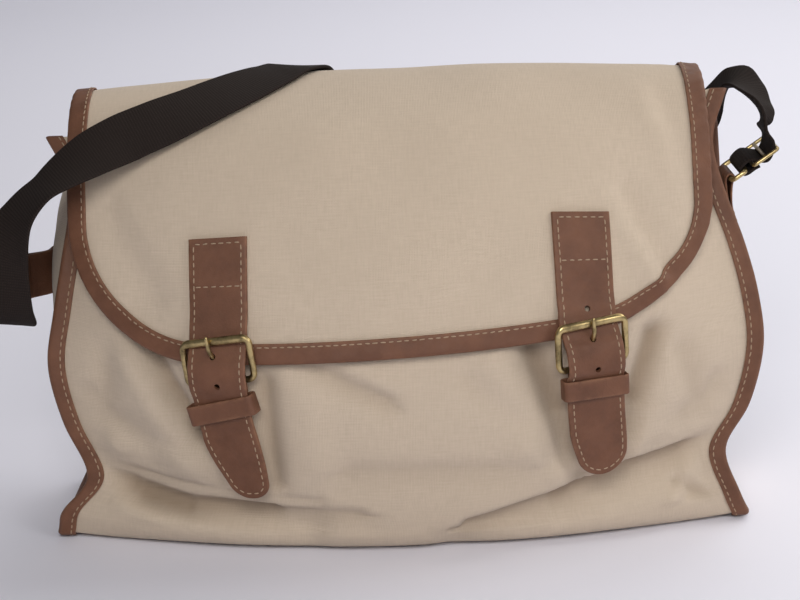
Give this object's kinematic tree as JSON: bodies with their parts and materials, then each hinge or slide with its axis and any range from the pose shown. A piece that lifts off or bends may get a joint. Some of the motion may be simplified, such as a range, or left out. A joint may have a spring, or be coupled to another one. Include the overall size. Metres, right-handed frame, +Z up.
{
  "type": "crossbody bag",
  "caption": "Canvas messenger bag with a leather-bound flap, buckled leather straps, side gussets and a webbing shoulder strap on brass rings.",
  "frame": {"origin": "on the surface that the bag stands on, under the middle of its base", "axes": "+X to the bag's right as seen from the front, +Y from the front to the back, +Z up"},
  "size_m": [0.4984, 0.2287, 0.2814],
  "materials": {
    "canvas": "plain weave, unbleached",
    "leather": "matt brown",
    "webbing": "ribbed dark brown",
    "brass": "antique"
  },
  "bodies": {
    "root": {"body_panel": "canvas", "flap": "canvas", "flap_binding": "leather", "strap_slider": "brass", "shoulder_strap": "webbing", "gusset_left": "canvas", "side_binding_left": "leather", "flap_strap_left": "leather", "buckle_frame_left": "brass", "buckle_prong_left": "brass", "billet_left": "leather", "keeper_left": "leather", "strap_tab_left": "leather", "strap_ring_left": "brass", "gusset_right": "canvas", "side_binding_right": "leather", "flap_strap_right": "leather", "buckle_frame_right": "brass", "buckle_prong_right": "brass", "billet_right": "leather", "keeper_right": "leather", "strap_tab_right": "leather", "strap_ring_right": "brass"}
  },
  "joints": []
}
